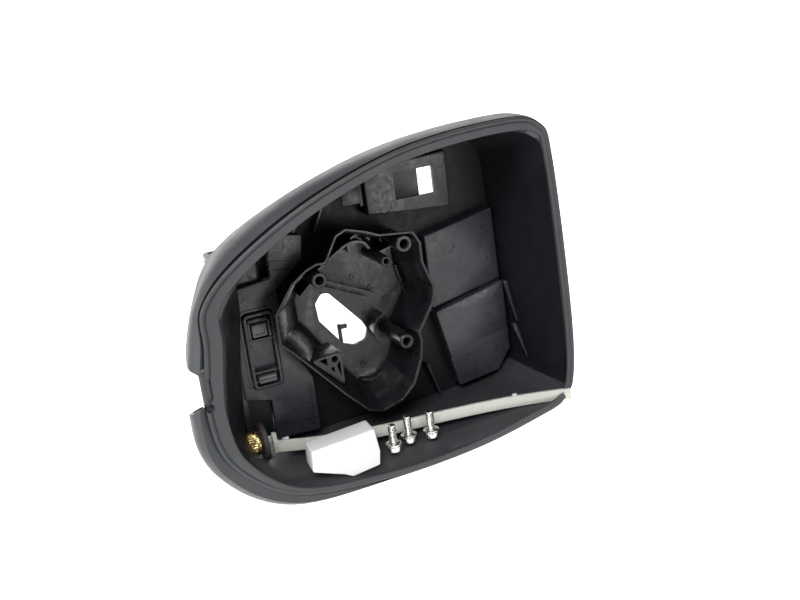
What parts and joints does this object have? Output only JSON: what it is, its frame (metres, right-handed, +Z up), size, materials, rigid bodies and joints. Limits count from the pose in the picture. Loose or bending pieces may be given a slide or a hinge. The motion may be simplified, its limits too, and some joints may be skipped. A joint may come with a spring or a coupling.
{
  "type": "car side mirror head",
  "caption": "Opened right-hand car side mirror head on its folding foot: grained rim, glossy inner bracket, socket, light strip and module, fold pivot and loose screws.",
  "frame": {"origin": "middle of the foot's face on the door's shoulder", "axes": "+X outboard, away from the car; +Y towards the front of the car; +Z up"},
  "size_m": [0.2467, 0.1525, 0.2227],
  "materials": {
    "grained_black": "fine grained satin black",
    "satin_black": "satin black moulding",
    "gloss_black": "glossy black",
    "latch_grey": "satin dark grey",
    "cream_guide": "cream, slightly glossy",
    "white_module": "clean white",
    "brass": "plain brass",
    "seal_rubber": "dark rubber",
    "bright_steel": "bright zinc-plated steel",
    "cast_alloy": "as-cast alloy",
    "insert_brass": "knurled brass",
    "gasket_rubber": "matt black rubber"
  },
  "bodies": {
    "foot": {"foot_base": "cast_alloy", "pivot_shaft": "bright_steel", "lower_cam_ring": "bright_steel", "pivot_spring": "bright_steel", "spring_washer": "bright_steel", "pivot_nut": "bright_steel", "door_gasket": "gasket_rubber", "door_insert_1": "insert_brass", "door_insert_2": "insert_brass", "door_insert_3": "insert_brass"},
    "head": {"bezel_frame": "grained_black", "upper_shell": "grained_black", "lower_shell": "grained_black", "back_panel": "satin_black", "inboard_carrier": "satin_black", "bracket": "gloss_black", "cable_hook": "gloss_black", "socket_frame": "satin_black", "socket_latch_upper": "latch_grey", "socket_latch_lower": "latch_grey", "cap_clip": "satin_black", "light_guide": "cream_guide", "light_module": "white_module", "lamp_sleeve": "brass", "lamp_seal": "seal_rubber", "fold_housing": "satin_black", "fold_housing_cap": "satin_black", "upper_cam_ring": "bright_steel", "neck_screw_1": "bright_steel", "neck_screw_2": "bright_steel"},
    "screw_1": {"head_screw_1": "bright_steel", "head_washer_1": "bright_steel"},
    "screw_2": {"head_screw_2": "bright_steel", "head_washer_2": "bright_steel"},
    "screw_3": {"head_screw_3": "bright_steel", "head_washer_3": "bright_steel"}
  },
  "joints": [
    {"name": "head_fold", "type": "hinge", "parent": "foot", "child": "head", "pos_m": [0, -0.04, 0.108], "axis": [0, 0, 1], "range_deg": [-60, 45]},
    {"name": "screw_lift_1", "type": "slide", "parent": "head", "child": "screw_1", "axis": [0, 0, 1], "range_m": [0, 0.025]},
    {"name": "screw_lift_2", "type": "slide", "parent": "head", "child": "screw_2", "axis": [0, 0, 1], "range_m": [0, 0.025]},
    {"name": "screw_lift_3", "type": "slide", "parent": "head", "child": "screw_3", "axis": [0, 0, 1], "range_m": [0, 0.025]}
  ]
}
